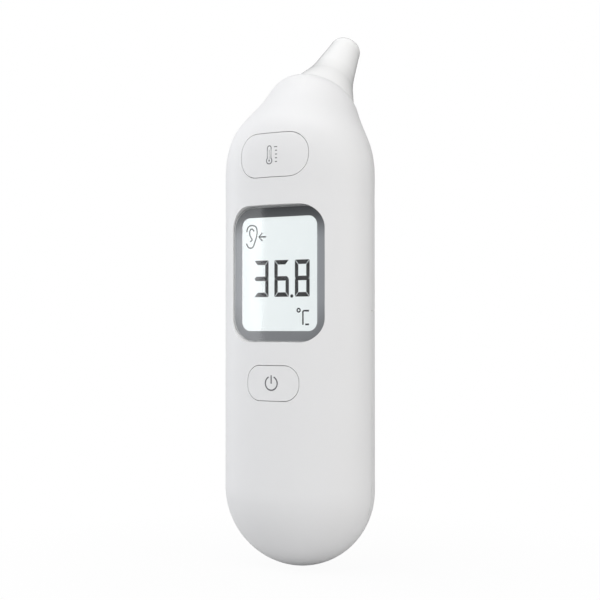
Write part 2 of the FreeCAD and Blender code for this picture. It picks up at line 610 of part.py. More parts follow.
def batteries():
    """Both cells and their three contacts."""
    floor, top = "tray_low + tray_end", "tray_high - tray_end"
    upper = f"{top} - plate_thick"
    cell("battery_left", "-1", f"{upper} - cell_length", True)
    cell("battery_right", "1", f"{floor} + plate_thick", False)
    bridge = box("link_bridge", ("-cell_apart", "cell_apart"), ("cell_back + 0.3", "cell_back + plate_half"),
                 (floor, f"{floor} + plate_thick"))
    link = fuse("link_plates", plate("link_left", "-1", floor), plate("link_right", "1", floor), bridge)
    node(group("battery_link_contact", link, coil("link_spring", "-1", f"{floor} + plate_thick")),
         "battery_link_contact")
    for name, sign in (("battery_positive_contact", "-1"), ("battery_negative_contact", "1")):
        tail = box(name + "_tail", (f"{sign}*cell_apart - tail_half", f"{sign}*cell_apart + tail_half"),
                   ("board_front + board_thick", "cell_back"), (upper, top))
        leaf = fuse(name + "_leaf", plate(name + "_plate", sign, upper), tail)
        if sign == "1":
            leaf = group(name, leaf, coil("end_spring", sign, f"{upper} - spring_length"))
        node(leaf, name)


def probe_outline(inset, base):
    """Outer line of a probe piece from its base up to the end of the cone, moved in by an inset."""
    foot = (f"cover_base - ({inset})", base)
    crease = (f"crease_radius - ({inset})", "crease_reach")
    end = (f"cone_radius - ({inset})", "cone_reach")
    below = tuple(f"({c}) + blend_below*(({f}) - ({c}))" for c, f in zip(crease, foot))
    above = tuple(f"({c}) + blend_above*(({e}) - ({c}))" for c, e in zip(crease, end))
    return [foot, below, above, end]


def probe_cover():
    """Removable cover: thin flared cone with a rounded tip and a film across its end."""
    foot, below, above, end = probe_outline("0", "cover_lift")
    inner = probe_outline("cover_wall", "cover_lift")
    points = [foot, below + ("-crease_blend",), above, end + ("tip_round",), ("tip_hole", "tip_reach"),
              ("tip_hole", "film_low + film_thick"), ("0", "film_low + film_thick"), ("0", "film_low"),
              ("tip_hole + film_rim", "film_low"), inner[3], inner[2] + ("crease_blend",), inner[1], inner[0]]
    return node(on_probe(revolved("probe_cover", points)), "probe_cover")


def probe_nozzle():
    """Fixed cone under the cover, with a neck through the seat and a bore for the sensor."""
    foot, below, above, end = probe_outline("cover_wall + cover_slack", "0")
    neck, room = "seat_bore - neck_slack", "seat_bore - neck_slack - neck_wall"
    ledge = "holder_low - 0.1"
    points = [foot, below + ("-crease_blend",), above, end, ("guide_outer + nozzle_rim", "nozzle_high"),
              ("guide_outer + 0.15", "nozzle_high"), ("guide_outer + 0.15", "holder_high + 0.1"),
              ("holder_radius + 0.05", "holder_high + 0.1"), ("holder_radius + 0.05", ledge), (room, ledge),
              (room, "-seat_depth - 0.2"), (neck, "-seat_depth - 0.2"), (neck, "0")]
    blank = on_probe(revolved("nozzle_blank", points))
    pilots = probe_bars("nozzle_pilot", "probe_pilot", "-1", "probe_screw_high + 0.2")
    return node(cut("probe_nozzle", blank, *pilots), "probe_nozzle")


def probe_inside():
    """Infrared path and sensor, from the tip down to the ribbon."""
    node(on_probe(revolved("waveguide_tube", [
        ("guide_inner", "guide_low"), ("guide_outer", "guide_low"), ("guide_outer", "guide_high"),
        ("guide_inner", "guide_high")])), "waveguide_tube")
    window_top, window_edge = "window_low + window_disc", "guide_outer + 0.1"
    node(on_probe(revolved("probe_window", [
        ("0", "window_low"), (window_edge, "window_low"), (window_edge, window_top), ("0", window_top)])),
        "probe_window")
    seat_edge, guide_edge = "sensor_flange + 0.05", "guide_outer + 0.02"
    node(on_probe(revolved("sensor_holder", [
        (seat_edge, "holder_low"), ("holder_radius", "holder_low"), ("holder_radius", "holder_high"),
        (guide_edge, "holder_high"), (guide_edge, "guide_low"), (seat_edge, "guide_low")])),
        "sensor_holder")
    node(on_probe(revolved("thermopile_sensor", [
        ("0", "sensor_foot"), ("sensor_flange", "sensor_foot"), ("sensor_flange", "sensor_foot + 0.5"),
        ("sensor_can", "sensor_foot + 0.5"), ("sensor_can", "sensor_top"), ("0", "sensor_top")])),
        "thermopile_sensor")

    def pins(name, radius, low, high):
        """Four bars on the sensor's pin circle."""
        bars = []
        for index, (across, back) in enumerate(((1, 1), (-1, 1), (-1, -1), (1, -1))):
            bar = make("Part::Cylinder", f"{name}_{index + 1}", Radius=radius, Height=f"({high}) - ({low})",
                       x=f"{across}*0.7071*pin_ring", y=f"{back}*0.7071*pin_ring", z=low)
            bars.append(bar)
        return bars

    pin_set = group("pin_set", *pins("pin", "pin_radius", "pin_low", "sensor_foot"))
    node(on_probe(pin_set), "sensor_pins")
    disc = cylinder("disc_blank", "disc_radius", "disc_low", "disc_low + disc_thick")
    holes = pins("pin_hole", "pin_radius + 0.08", "disc_low - 1", "disc_low + disc_thick + 1")
    node(on_probe(cut("sensor_board", disc, *holes)), "sensor_board")
    heads = probe_bars("probe_screw_head", "probe_head", "-seat_depth - 0.9", "-seat_depth")
    shanks = probe_bars("probe_screw_shank", "probe_shank", "-seat_depth - 0.5", "probe_screw_high")
    solids = [fuse(f"probe_screw_{index}", *pair) for index, pair in enumerate(zip(heads, shanks), start=1)]
    node(group("probe_screws", *solids), "probe_screws")


def sensor_ribbon():
    """Flat cable from the sensor board, straight down the probe's axis, then bent down to its connector."""
    lean = "probe_tilt*1deg"
    middle = "(ribbon_back + ribbon_bend)"
    run = f"(({middle} - ribbon_bend*cos({lean}) - seat_back)/sin({lean}))"
    height = f"(seat_height + {run}*cos({lean}) - ribbon_bend*sin({lean}))"

    def edge(offset):
        """Start, bend and end of one face of the cable."""
        start = (f"seat_back + ribbon_top*sin({lean}) + ({offset})*cos({lean})",
                 f"seat_height + ribbon_top*cos({lean}) - ({offset})*sin({lean})")
        radius = f"(ribbon_bend - ({offset}))"
        top = (f"{middle} - {radius}*cos({lean})", f"{height} + {radius}*sin({lean})")
        return start, top, (f"{middle} - {radius}", height), radius

    start, top, low, radius = edge("-ribbon_thick/2")
    inner_start, inner_top, inner_low, inner_radius = edge("ribbon_thick/2")
    points = [start, top + (f"-{radius}",), low, inner_low + (inner_radius,), inner_top, inner_start]
    return node(side_slab("sensor_ribbon", points, "ribbon_half"), "sensor_ribbon")


def build():
    """Make every sub-part."""
    fill_sheet()
    outer, inner, core = form("outer", "0"), form("inner", "wall"), form("core", "lip_inset")
    lip_room = form("lip_room", "lip_inset - lip_slack")
    wall = cut("housing_wall", outer, inner)
    behind_front = rear_region("behind_front", "0", "0")
    behind_gap = rear_region("behind_gap", "parting_gap", "parting_gap")
    beside = box("lip_height", ("-far", "far"), ("-far", "far"), ("cover_split - lip_slack", "3*far"))
    lip_band = common("lip_band", rear_region("lip_space_region", "-lip_reach - lip_slack", "0"), beside)
    lip_space = common("lip_space", lip_band, lip_room)
    front_shell(wall, behind_front, lip_space, core)
    rear_shell(wall, behind_gap, core)
    battery_cover(wall, behind_gap)
    display_stack()
    main_board()
    push_button("measure", outer)
    push_button("power", outer)
    battery_tray()
    batteries()
    probe_cover()
    probe_nozzle()
    probe_inside()
    sensor_ribbon()
    screws("board_screws", ("board_low", "board_high"), "board_thick")
    screws("tray_screws", ("tray_low", "tray_high"), "tray_floor")
    screws("case_screws", ("case",), "ear_thick")
    doc.recompute()


def check():
    """Stop if any object failed or any sub-part has no sound shape."""
    for thing in doc.Objects:
        if {"Invalid", "Error"} & set(thing.State):
            raise RuntimeError(f"{thing.Label} failed: {thing.State}")
    for thing in nodes:
        if thing.Shape.isNull() or not thing.Shape.isValid():
            raise RuntimeError(f"{thing.Label} has no valid shape")


def export():
    """Write one STEP file for each sub-part."""
    os.makedirs("parts", exist_ok=True)
    for thing in nodes:
        thing.Shape.exportStep(f"parts/{thing.Label}.step")
        print(f"{thing.Label:26s} solids {len(thing.Shape.Solids)}  volume {thing.Shape.Volume:10.2f}")


build()
check()
export()
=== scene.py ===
"""Digital ear thermometer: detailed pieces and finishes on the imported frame.

Metres throughout, +Z up the long axis, the display faces -Y and the probe leans towards +Y.
"""

import logging
import math
from dataclasses import dataclass, field
from enum import Enum
from typing import ClassVar

import bmesh
import bpy
from mathutils import Matrix, Vector
from mathutils.bvhtree import BVHTree


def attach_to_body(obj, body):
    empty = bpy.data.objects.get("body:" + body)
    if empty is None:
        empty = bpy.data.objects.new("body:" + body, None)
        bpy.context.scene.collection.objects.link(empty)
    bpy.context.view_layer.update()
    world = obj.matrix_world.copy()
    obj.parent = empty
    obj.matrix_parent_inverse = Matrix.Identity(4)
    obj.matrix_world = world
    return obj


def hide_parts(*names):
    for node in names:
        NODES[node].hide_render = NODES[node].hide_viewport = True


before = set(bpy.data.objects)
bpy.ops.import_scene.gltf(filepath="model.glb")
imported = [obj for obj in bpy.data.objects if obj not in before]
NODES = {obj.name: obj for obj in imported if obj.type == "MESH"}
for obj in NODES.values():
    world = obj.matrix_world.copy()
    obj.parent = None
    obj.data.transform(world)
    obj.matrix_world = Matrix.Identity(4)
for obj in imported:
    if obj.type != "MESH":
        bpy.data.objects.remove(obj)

LOG = logging.getLogger("ear_thermometer")
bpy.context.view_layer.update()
MM = 0.001
PRINT_THICK = 0.04

Colour = tuple[float, float, float]
Point = tuple[float, float]


class Direction(Enum):
    """Which way a pattern runs, as the stretch of its coordinates along X, Y and Z."""

    ROUND = (1.0, 1.0, 1.0)
    ALONG_X = (0.04, 1.0, 1.0)
    ALONG_Z = (1.0, 1.0, 0.04)


class Digit(Enum):
    """Dark bars of each figure, lettered clockwise from the top as a to f, with g in the middle."""

    THREE = "abcdg"
    SIX = "acdefg"
    EIGHT = "abcdefg"


class Tree:
    """A node tree being filled, either a material's or a group's."""

    def __init__(self, tree: bpy.types.NodeTree) -> None:
        """Keep the tree and empty it."""
        self.tree = tree
        self.tree.nodes.clear()

    def add(self, kind: str, sockets: dict | None = None, **settings) -> bpy.types.Node:
        """Add one node.

        Args:
            kind: Type name of the node.
            sockets: Input name or number to a constant or to another node's output.
            settings: Properties of the node itself.

        Returns:
            The new node.
        """
        node = self.tree.nodes.new(kind)
        for name, value in settings.items():
            setattr(node, name, value)
        for name, value in (sockets or {}).items():
            if isinstance(value, bpy.types.NodeSocket):
                self.tree.links.new(value, node.inputs[name])
            else:
                node.inputs[name].default_value = value
        return node

    def math(self, operation: str, *values) -> bpy.types.NodeSocket:
        """Result of a Math node on constants or outputs."""
        return self.add("ShaderNodeMath", dict(enumerate(values)), operation=operation).outputs[0]

    def place(self) -> bpy.types.NodeSocket:
        """Object coordinates, in metres."""
        return self.add("ShaderNodeTexCoord").outputs["Object"]

    def axis(self, name: str) -> bpy.types.NodeSocket:
        """One object coordinate, in metres."""
        return self.add("ShaderNodeSeparateXYZ", {0: self.place()}).outputs[name]

    def noise(self, scale: float, detail: float) -> bpy.types.NodeSocket:
        """Plain noise on Object coordinates."""
        return self.add("ShaderNodeTexNoise", {"Vector": self.place(), "Scale": scale,
                                               "Detail": detail}).outputs[0]

    def ramp(self, value: bpy.types.NodeSocket, stops: list[tuple[float, Colour]],
             mode: str = "LINEAR") -> bpy.types.NodeSocket:
        """Colour picked from stops by a value.

        Args:
            value: Number from 0 to 1 that picks the colour.
            stops: Place and colour of each stop, lowest first.
            mode: How colours run between the stops.

        Returns:
            The colour picked.
        """
        node = self.add("ShaderNodeValToRGB", {0: value})
        node.color_ramp.interpolation = mode
        elements = node.color_ramp.elements
        while len(elements) < len(stops):
            elements.new(0.5)
        for element, (spot, colour) in zip(elements, stops):
            element.position = spot
            element.color = (*colour, 1.0)
        return node.outputs["Color"]

    def blend(self, mask: bpy.types.NodeSocket | float, first: bpy.types.NodeSocket | Colour,
              second: bpy.types.NodeSocket | Colour, mode: str = "MIX") -> bpy.types.NodeSocket:
        """Mix of two colours by a mask.

        Args:
            mask: Share of the second colour.
            first: Colour where the mask is 0.
            second: Colour where the mask is 1.
            mode: How the two mix.

        Returns:
            The mixed colour.
        """
        node = self.add("ShaderNodeMix", {"Factor": mask}, data_type="RGBA", blend_type=mode)
        for number, value in ((6, first), (7, second)):
            if isinstance(value, bpy.types.NodeSocket):
                self.tree.links.new(value, node.inputs[number])
            else:
                node.inputs[number].default_value = (*value, 1.0)
        return node.outputs[2]


class Effects:
    """Shader node groups that several finishes share."""

    _made: ClassVar[dict[str, bpy.types.ShaderNodeTree]] = {}

    @classmethod
    def _start(cls, name: str, inputs: dict[str, float], outputs: tuple[str, ...]) -> Tree:
        """New group with float inputs and outputs."""
        group = bpy.data.node_groups.new(name, "ShaderNodeTree")
        tree = Tree(group)
        for label, value in inputs.items():
            socket = group.interface.new_socket(label, in_out="INPUT", socket_type="NodeSocketFloat")
            socket.default_value = value
        for label in outputs:
            group.interface.new_socket(label, in_out="OUTPUT", socket_type="NodeSocketFloat")
        cls._made[name] = group
        return tree

    @classmethod
    def group(cls, name: str) -> bpy.types.ShaderNodeTree:
        """The named group, built the first time that it is asked for."""
        if name not in cls._made:
            getattr(cls, "_" + name)()
        return cls._made[name]

    @classmethod
    def _moulded_grain(cls) -> None:
        """Fine spark texture of a mould, with slow drift of shade and gloss over a surface."""
        tree = cls._start("moulded_grain", {"Size": 3000.0, "Drift": 0.02}, ("Height", "Shade", "Gloss"))
        given = tree.add("NodeGroupInput").outputs
        place = tree.place()
        fine = tree.add("ShaderNodeTexNoise", {"Vector": place, "Scale": given["Size"], "Detail": 3.0,
                                               "Roughness": 0.6}).outputs[0]
        slow = tree.add("ShaderNodeTexNoise", {"Vector": place, "Scale": 45.0, "Detail": 2.0}).outputs[0]
        swing = tree.math("MULTIPLY", tree.math("SUBTRACT", slow, 0.5), given["Drift"])
        tree.add("NodeGroupOutput", {"Height": fine, "Shade": tree.math("ADD", swing, 1.0), "Gloss": slow})

    @classmethod
    def _edge_wear(cls) -> None:
        """Mask that is bright where handling polishes sharp edges, broken up by noise."""
        tree = cls._start("edge_wear", {"Reach": 0.0004, "Amount": 0.5}, ("Mask",))
        given = tree.add("NodeGroupInput").outputs
        turned = tree.add("ShaderNodeBevel", {"Radius": given["Reach"]}, samples=4).outputs[0]
        straight = tree.add("ShaderNodeNewGeometry").outputs["Normal"]
        match = tree.add("ShaderNodeVectorMath", {0: turned, 1: straight},
                         operation="DOT_PRODUCT").outputs["Value"]
        bend = tree.math("SUBTRACT", 1.0, match)
        patches = tree.noise(260.0, 4.0)
        mask = tree.math("MULTIPLY", tree.math("MULTIPLY", bend, 4.0), patches)
        held = tree.add("ShaderNodeClamp", {0: tree.math("MULTIPLY", mask, given["Amount"])}).outputs[0]
        tree.add("NodeGroupOutput", {"Mask": held})

    @classmethod
    def _fine_streaks(cls) -> None:
        """Drawn or brushed metal: long thin streaks of height and gloss."""
        tree = cls._start("fine_streaks", {"Size": 2500.0, "Across X": 1.0, "Across Y": 1.0, "Across Z": 1.0},
                          ("Height", "Gloss"))
        given = tree.add("NodeGroupInput").outputs
        stretch = tree.add("ShaderNodeCombineXYZ",
                           {axis: given[f"Across {axis}"] for axis in "XYZ"}).outputs[0]
        place = tree.add("ShaderNodeVectorMath", {0: tree.place(), 1: stretch},
                         operation="MULTIPLY").outputs[0]
        streak = tree.add("ShaderNodeTexNoise", {"Vector": place, "Scale": given["Size"], "Detail": 4.0,
                                                 "Roughness": 0.65}).outputs[0]
        tree.add("NodeGroupOutput", {"Height": streak, "Gloss": streak})

    @classmethod
    def _handling(cls) -> None:
        """Faint smudges and settled dust that dull a polished face."""
        tree = cls._start("handling", {"Smudge": 0.05, "Dust": 0.02}, ("Rough",))
        given = tree.add("NodeGroupInput").outputs
        place = tree.place()
        cloud = tree.add("ShaderNodeTexNoise", {"Vector": place, "Scale": 120.0, "Detail": 3.0,
                                                "Distortion": 0.8}).outputs[0]
        wipe = tree.math("MULTIPLY", tree.math("POWER", cloud, 3.0), given["Smudge"])
        speck = tree.add("ShaderNodeTexVoronoi", {"Vector": place, "Scale": 900.0}).outputs["Distance"]
        dust = tree.math("MULTIPLY", tree.math("LESS_THAN", speck, 0.06), given["Dust"])
        tree.add("NodeGroupOutput", {"Rough": tree.math("ADD", wipe, dust)})


class Finish:
    """Base of every finish: makes its material once and hands it out."""

    name: str
    _made: ClassVar[dict[str, bpy.types.Material]] = {}

    def paint(self, tree: Tree, shader: bpy.types.Node) -> None:
        """Fill in the shader; each finish has its own."""
        raise NotImplementedError

    def surface(self, tree: Tree, shader: bpy.types.Node) -> bpy.types.NodeSocket:
        """What the material shows: the shader itself unless a finish adds to it."""
        return shader.outputs[0]

    def material(self) -> bpy.types.Material:
        """The material of this finish, built the first time."""
        if self.name not in self._made:
            made = bpy.data.materials.new(self.name)
            made.use_nodes = True
            tree = Tree(made.node_tree)
            shader = tree.add("ShaderNodeBsdfPrincipled")
            self.paint(tree, shader)
            tree.add("ShaderNodeOutputMaterial", {"Surface": self.surface(tree, shader)})
            self._made[self.name] = made
        return self._made[self.name]


def attach(tree: Tree, shader: bpy.types.Node, sockets: dict) -> None:
    """Set or link the shader's own sockets.

    Args:
        tree: Tree that holds the shader.
        shader: The Principled BSDF.
        sockets: Socket name to a constant or an output.
    """
    for name, value in sockets.items():
        if isinstance(value, bpy.types.NodeSocket):
            tree.tree.links.new(value, shader.inputs[name])
        else:
            shader.inputs[name].default_value = (*value, 1.0) if isinstance(value, tuple) else value


@dataclass(frozen=True)
class Moulded(Finish):
    """Injection-moulded plastic or rubber with a spark-eroded grain."""

    name: str
    colour: Colour
    roughness: float = 0.4
    grain: float = 0.3
    depth: float = 0.006
    drift: float = 0.03
    specular: float = 0.5
    coat: float = 0.0
    wear: float = 0.3

    def paint(self, tree: Tree, shader: bpy.types.Node) -> None:
        """Grain in height, drift in shade and gloss, and edges polished lighter by handling."""
        grain = tree.add("ShaderNodeGroup", node_tree=Effects.group("moulded_grain"))
        grain.inputs["Size"].default_value = 1.0 / (self.grain * MM)
        grain.inputs["Drift"].default_value = self.drift
        worn = tree.add("ShaderNodeGroup", node_tree=Effects.group("edge_wear"))
        worn.inputs["Amount"].default_value = self.wear
        shade = tree.add("ShaderNodeCombineColor", {n: grain.outputs["Shade"] for n in range(3)}).outputs[0]
        tinted = tree.blend(1.0, self.colour, shade, "MULTIPLY")
        pale = tuple(min(1.0, part * 1.12 + 0.02) for part in self.colour)
        swing = tree.math("MULTIPLY", tree.math("SUBTRACT", grain.outputs["Gloss"], 0.5), 0.12)
        rough = tree.math("ADD", swing, self.roughness)
        bump = tree.add("ShaderNodeBump", {"Height": grain.outputs["Height"], "Distance": self.depth * MM,
                                           "Strength": 1.0})
        attach(tree, shader, {
            "Base Color": tree.blend(worn.outputs["Mask"], tinted, pale),
            "Roughness": tree.math("SUBTRACT", rough, tree.math("MULTIPLY", worn.outputs["Mask"], 0.1)),
            "Normal": bump.outputs[0], "Specular IOR Level": self.specular,
            "Coat Weight": self.coat, "Coat Roughness": 0.05})


@dataclass(frozen=True)
class Metal(Finish):
    """Drawn, turned or plated metal with fine streaks."""

    name: str
    colour: Colour
    roughness: float = 0.3
    lay: Direction = Direction.ROUND

    def paint(self, tree: Tree, shader: bpy.types.Node) -> None:
        """Streaks in height and gloss, brighter along worn edges."""
        streak = tree.add("ShaderNodeGroup", node_tree=Effects.group("fine_streaks"))
        for axis, stretch in zip("XYZ", self.lay.value):
            streak.inputs[f"Across {axis}"].default_value = stretch
        worn = tree.add("ShaderNodeGroup", node_tree=Effects.group("edge_wear"))
        bright = tuple(min(1.0, part * 1.25) for part in self.colour)
        swing = tree.math("MULTIPLY", tree.math("SUBTRACT", streak.outputs["Gloss"], 0.5), 0.3)
        bump = tree.add("ShaderNodeBump", {"Height": streak.outputs["Height"], "Distance": 0.004 * MM,
                                           "Strength": 1.0})
        attach(tree, shader, {
            "Base Color": tree.blend(worn.outputs["Mask"], self.colour, bright), "Metallic": 1.0,
            "Roughness": tree.math("ADD", swing, self.roughness), "Normal": bump.outputs[0]})


@dataclass(frozen=True)
class Clear(Finish):
    """Polished clear acrylic or film."""

    name: str
    colour: Colour
    roughness: float = 0.03
    smudge: float = 0.05
    index: float = 1.49

    def paint(self, tree: Tree, shader: bpy.types.Node) -> None:
        """Glass whose gloss is slightly uneven where it has been wiped."""
        marks = tree.add("ShaderNodeGroup", node_tree=Effects.group("handling"))
        marks.inputs["Smudge"].default_value = self.smudge
        attach(tree, shader, {
            "Base Color": self.colour, "Transmission Weight": 1.0, "IOR": self.index,
            "Roughness": tree.math("ADD", marks.outputs["Rough"], self.roughness)})

    def surface(self, tree: Tree, shader: bpy.types.Node) -> bpy.types.NodeSocket:
        """Let light from the lamps through to what lies behind."""
        lamp_ray = tree.add("ShaderNodeLightPath").outputs["Is Shadow Ray"]
        open_way = tree.add("ShaderNodeBsdfTransparent", {"Color": (0.93, 0.93, 0.93, 1.0)})
        return tree.add("ShaderNodeMixShader", {0: lamp_ray, 1: shader.outputs[0],
                                                2: open_way.outputs[0]}).outputs[0]


@dataclass(frozen=True)
class Ink(Finish):
    """Printed or etched ink, a little uneven in density."""

    name: str
    colour: Colour
    roughness: float = 0.5

    def paint(self, tree: Tree, shader: bpy.types.Node) -> None:
        """Density varies by a few percent at the scale of the print."""
        cloud = tree.noise(2600.0, 3.0)
        thin = tuple(part * 1.3 for part in self.colour)
        rough = tree.math("ADD", tree.math("MULTIPLY", cloud, 0.15), self.roughness - 0.07)
        attach(tree, shader, {"Base Color": tree.blend(tree.math("MULTIPLY", cloud, 0.5), self.colour, thin),
                              "Roughness": rough, "Specular IOR Level": 0.2})


@dataclass(frozen=True)
class MaskPrint(Finish):
    """Grey border printed behind the window, with painted shade darkening its top and a painted glow over it.
    """

    name: str
    low: Colour
    high: Colour
    painted_glow: tuple[tuple[float, Colour], ...]
    bottom: float
    top: float

    def paint(self, tree: Tree, shader: bpy.types.Node) -> None:
        """A halftone with painted shade that darkens it up the window, and a painted glow by height in place
        of the light that the window keeps from it.
        """
        rise = tree.add("ShaderNodeMapRange", {"Value": tree.axis("Z"), "From Min": self.bottom * MM,
                                               "From Max": self.top * MM}).outputs[0]
        # painted shade: over the top fifth the grey print darkens to the second colour, standing in for the
        # dark reflection in the window there
        print_and_painted_shade = tree.ramp(rise, [(0.0, self.low), (0.8, self.low), (1.0, self.high)])
        # painted light: an emitted glow by height, darker at the bottom and top, in place of the light that
        # the window keeps from the mask
        painted_glow = tree.ramp(rise, list(self.painted_glow))
        dots = tree.add("ShaderNodeTexVoronoi", {"Vector": tree.place(), "Scale": 5000.0}).outputs["Distance"]
        attach(tree, shader, {
            "Base Color": tree.blend(tree.math("MULTIPLY", dots, 0.05), print_and_painted_shade, (0.3, 0.3, 0.32)),
            "Emission Color": painted_glow, "Emission Strength": 1.0,
            "Roughness": tree.math("ADD", tree.math("MULTIPLY", dots, 0.1), 0.35)})


@dataclass(frozen=True)
class Backlit(Finish):
    """Pale liquid crystal glass or light guide, lit evenly from behind."""

    name: str
    colour: Colour
    bottom: float
    top: float

    def paint(self, tree: Tree, shader: bpy.types.Node) -> None:
        """Even light, slightly stronger at the far end, over a fine grid of cells."""
        rise = tree.add("ShaderNodeMapRange", {"Value": tree.axis("Z"), "From Min": self.bottom * MM,
                                               "From Max": self.top * MM}).outputs[0]
        far = tuple(part * 1.03 for part in self.colour)
        light = tree.ramp(rise, [(0.0, self.colour), (0.5, self.colour), (1.0, far)])
        grid = tree.noise(900.0, 2.0)
        attach(tree, shader, {
            "Base Color": tree.blend(tree.math("MULTIPLY", grid, 0.04), (0.05, 0.05, 0.05),
                                     (0.40, 0.42, 0.41)),
            "Emission Color": light, "Emission Strength": 1.0,
            "Roughness": tree.math("ADD", tree.math("MULTIPLY", grid, 0.1), 0.2)})


@dataclass(frozen=True)
class Board(Finish):
    """Glass fibre board under solder mask, with copper tracks showing as relief."""

    name: str
    colour: Colour
    pitch: float = 1.3

    def paint(self, tree: Tree, shader: bpy.types.Node) -> None:
        """Tracks from a brick pattern: lighter green, slightly raised."""
        turned = tree.add("ShaderNodeMapping", {"Vector": tree.place(), "Rotation": (math.pi / 2, 0.0, 0.0)})
        tracks = tree.add("ShaderNodeTexBrick", {
            "Vector": turned.outputs[0], "Color1": (0.0, 0.0, 0.0, 1.0), "Color2": (0.15, 0.15, 0.15, 1.0),
            "Mortar": (1.0, 1.0, 1.0, 1.0), "Scale": 1.0, "Mortar Size": 0.16 * MM, "Mortar Smooth": 0.1,
            "Brick Width": 5.0 * self.pitch * MM, "Row Height": self.pitch * MM})
        light = tuple(part * 1.9 for part in self.colour)
        weave = tree.noise(700.0, 2.0)
        bump = tree.add("ShaderNodeBump", {"Height": tracks.outputs["Color"], "Distance": 0.035 * MM,
                                           "Strength": 1.0})
        attach(tree, shader, {
            "Base Color": tree.blend(tracks.outputs["Color"], self.colour, light),
            "Roughness": tree.math("ADD", tree.math("MULTIPLY", weave, 0.2), 0.2), "Normal": bump.outputs[0]})


@dataclass(frozen=True)
class CellWrap(Finish):
    """Printed film round an AAA cell: a coloured end band, a dark body and bare steel ends."""

    name: str
    low: float
    high: float
    band_at_top: bool

    def paint(self, tree: Tree, shader: bpy.types.Node) -> None:
        """Bands by height up the cell."""
        rise = tree.add("ShaderNodeMapRange", {"Value": tree.axis("Z"), "From Min": self.low * MM,
                                               "From Max": self.high * MM}).outputs[0]
        along = rise if self.band_at_top else tree.math("SUBTRACT", 1.0, rise)
        steel, line = (0.6, 0.6, 0.58), (0.75, 0.75, 0.72)
        dark, band = (0.035, 0.05, 0.075), (0.55, 0.27, 0.06)
        metal, foil = (1.0, 1.0, 1.0), (0.35, 0.35, 0.35)
        start, stop = 0.035, 0.955
        colour = tree.ramp(along, [(0.0, steel), (start, dark), (0.66, line), (0.675, band), (stop, steel)],
                           "CONSTANT")
        bare = tree.ramp(along, [(0.0, metal), (start, foil), (stop, metal)], "CONSTANT")
        marks = tree.add("ShaderNodeGroup", node_tree=Effects.group("handling"))
        marks.inputs["Smudge"].default_value = 0.3
        attach(tree, shader, {"Base Color": colour, "Metallic": bare,
                              "Roughness": tree.math("ADD", marks.outputs["Rough"], 0.26),
                              "Coat Weight": 0.4, "Coat Roughness": 0.1})


@dataclass(frozen=True)
class RibbonFilm(Finish):
    """Polyimide film with copper conductors side by side."""

    name: str
    film: Colour
    copper: Colour
    pitch: float = 0.8

    def paint(self, tree: Tree, shader: bpy.types.Node) -> None:
        """Conductors from a wave across the cable's width."""
        lines = tree.math("SINE", tree.math("MULTIPLY", tree.axis("X"), math.tau / (self.pitch * MM)))
        mask = tree.math("GREATER_THAN", lines, 0.1)
        bump = tree.add("ShaderNodeBump", {"Height": mask, "Distance": 0.02 * MM, "Strength": 0.6})
        attach(tree, shader, {"Base Color": tree.blend(mask, self.film, self.copper), "Roughness": 0.25,
                              "Normal": bump.outputs[0], "Coat Weight": 0.5})


HOUSING = Moulded("housing_white", (0.80, 0.80, 0.805), roughness=0.5, grain=0.22, depth=0.003, drift=0.012,
                  specular=0.4)
BUTTON = Moulded("button_white", (0.80, 0.80, 0.805), roughness=0.46, grain=0.22, depth=0.0025, drift=0.012,
                 specular=0.4)
PROBE = Moulded("probe_white", (0.93, 0.93, 0.928), roughness=0.16, grain=1.4, depth=0.004, drift=0.01,
                coat=0.6)
